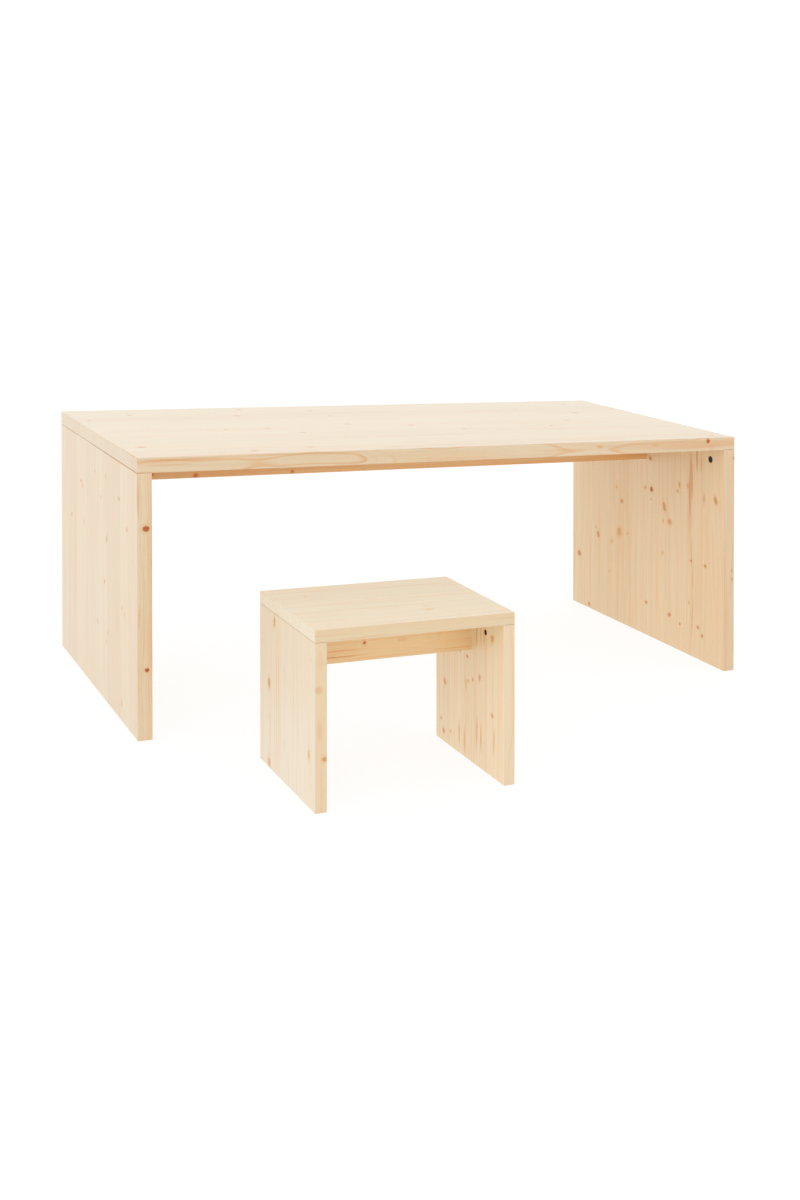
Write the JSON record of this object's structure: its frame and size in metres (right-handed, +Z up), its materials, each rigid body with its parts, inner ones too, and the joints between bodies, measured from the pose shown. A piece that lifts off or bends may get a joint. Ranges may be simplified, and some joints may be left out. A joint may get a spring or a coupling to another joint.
{
  "type": "kids table and stool set",
  "caption": "Low children's table and matching stool in pale solid wood: flat boards butt joined at the corners, with a rail under each top and hidden cam fittings.",
  "frame": {"origin": "on the floor, at the middle of the box around the table and the stool", "axes": "+X to the right along the table's length, +Y to the back of the table, +Z up; the stool stands on the -Y side"},
  "size_m": [1.3, 0.995, 0.5],
  "materials": {
    "spruce_board": "clear matt lacquer on pale edge-glued spruce",
    "spruce_rail": "clear matt lacquer on spruce",
    "dowel_beech": "raw beech",
    "cam_zinc": "dark die-cast zinc",
    "bolt_steel": "zinc-plated steel"
  },
  "bodies": {
    "table": {"table_top": "spruce_board", "table_left_panel": "spruce_board", "table_right_panel": "spruce_board", "table_rail": "spruce_rail", "table_left_bolts": "bolt_steel", "table_right_bolts": "bolt_steel", "table_rail_bolts": "bolt_steel", "table_left_dowels": "dowel_beech", "table_right_dowels": "dowel_beech", "table_rail_dowels": "dowel_beech", "table_rail_top_dowels": "dowel_beech"},
    "stool": {"stool_seat": "spruce_board", "stool_left_panel": "spruce_board", "stool_right_panel": "spruce_board", "stool_rail": "spruce_rail", "stool_left_bolts": "bolt_steel", "stool_right_bolts": "bolt_steel", "stool_rail_bolts": "bolt_steel", "stool_left_dowels": "dowel_beech", "stool_right_dowels": "dowel_beech", "stool_rail_dowels": "dowel_beech"},
    "table_left_front_cam": {"table_left_front_cam": "cam_zinc"},
    "table_left_back_cam": {"table_left_back_cam": "cam_zinc"},
    "table_right_front_cam": {"table_right_front_cam": "cam_zinc"},
    "table_right_back_cam": {"table_right_back_cam": "cam_zinc"},
    "table_rail_left_cam": {"table_rail_left_cam": "cam_zinc"},
    "table_rail_right_cam": {"table_rail_right_cam": "cam_zinc"},
    "stool_left_front_cam": {"stool_left_front_cam": "cam_zinc"},
    "stool_left_back_cam": {"stool_left_back_cam": "cam_zinc"},
    "stool_right_front_cam": {"stool_right_front_cam": "cam_zinc"},
    "stool_right_back_cam": {"stool_right_back_cam": "cam_zinc"},
    "stool_rail_left_cam": {"stool_rail_left_cam": "cam_zinc"},
    "stool_rail_right_cam": {"stool_rail_right_cam": "cam_zinc"}
  },
  "joints": [
    {"name": "stool_slide", "type": "slide", "parent": "table", "child": "stool", "axis": [0, 1, 0], "range_m": [-0.3, 0.57]},
    {"name": "table_left_front_cam_turn", "type": "hinge", "parent": "table", "child": "table_left_front_cam", "pos_m": [-0.6365, -0.0545, 0.445], "axis": [1, 0, 0], "range_deg": [0, 180]},
    {"name": "table_left_back_cam_turn", "type": "hinge", "parent": "table", "child": "table_left_back_cam", "pos_m": [-0.6365, 0.4495, 0.445], "axis": [1, 0, 0], "range_deg": [0, 180]},
    {"name": "table_right_front_cam_turn", "type": "hinge", "parent": "table", "child": "table_right_front_cam", "pos_m": [0.6365, -0.0545, 0.445], "axis": [-1, 0, 0], "range_deg": [0, 180]},
    {"name": "table_right_back_cam_turn", "type": "hinge", "parent": "table", "child": "table_right_back_cam", "pos_m": [0.6365, 0.4495, 0.445], "axis": [-1, 0, 0], "range_deg": [0, 180]},
    {"name": "table_rail_left_cam_turn", "type": "hinge", "parent": "table", "child": "table_rail_left_cam", "pos_m": [-0.589, 0.1975, 0.445], "axis": [0, 1, 0], "range_deg": [0, 180]},
    {"name": "table_rail_right_cam_turn", "type": "hinge", "parent": "table", "child": "table_rail_right_cam", "pos_m": [0.589, 0.1975, 0.445], "axis": [0, 1, 0], "range_deg": [0, 180]},
    {"name": "stool_left_front_cam_turn", "type": "hinge", "parent": "stool", "child": "stool_left_front_cam", "pos_m": [-0.4645, -0.4335, 0.24], "axis": [1, 0, 0], "range_deg": [0, 180]},
    {"name": "stool_left_back_cam_turn", "type": "hinge", "parent": "stool", "child": "stool_left_back_cam", "pos_m": [-0.4645, -0.3115, 0.24], "axis": [1, 0, 0], "range_deg": [0, 180]},
    {"name": "stool_right_front_cam_turn", "type": "hinge", "parent": "stool", "child": "stool_right_front_cam", "pos_m": [-0.1255, -0.4335, 0.24], "axis": [-1, 0, 0], "range_deg": [0, 180]},
    {"name": "stool_right_back_cam_turn", "type": "hinge", "parent": "stool", "child": "stool_right_back_cam", "pos_m": [-0.1255, -0.3115, 0.24], "axis": [-1, 0, 0], "range_deg": [0, 180]},
    {"name": "stool_rail_left_cam_turn", "type": "hinge", "parent": "stool", "child": "stool_rail_left_cam", "pos_m": [-0.428, -0.3725, 0.24], "axis": [0, -1, 0], "range_deg": [0, 180]},
    {"name": "stool_rail_right_cam_turn", "type": "hinge", "parent": "stool", "child": "stool_rail_right_cam", "pos_m": [-0.162, -0.3725, 0.24], "axis": [0, -1, 0], "range_deg": [0, 180]}
  ]
}
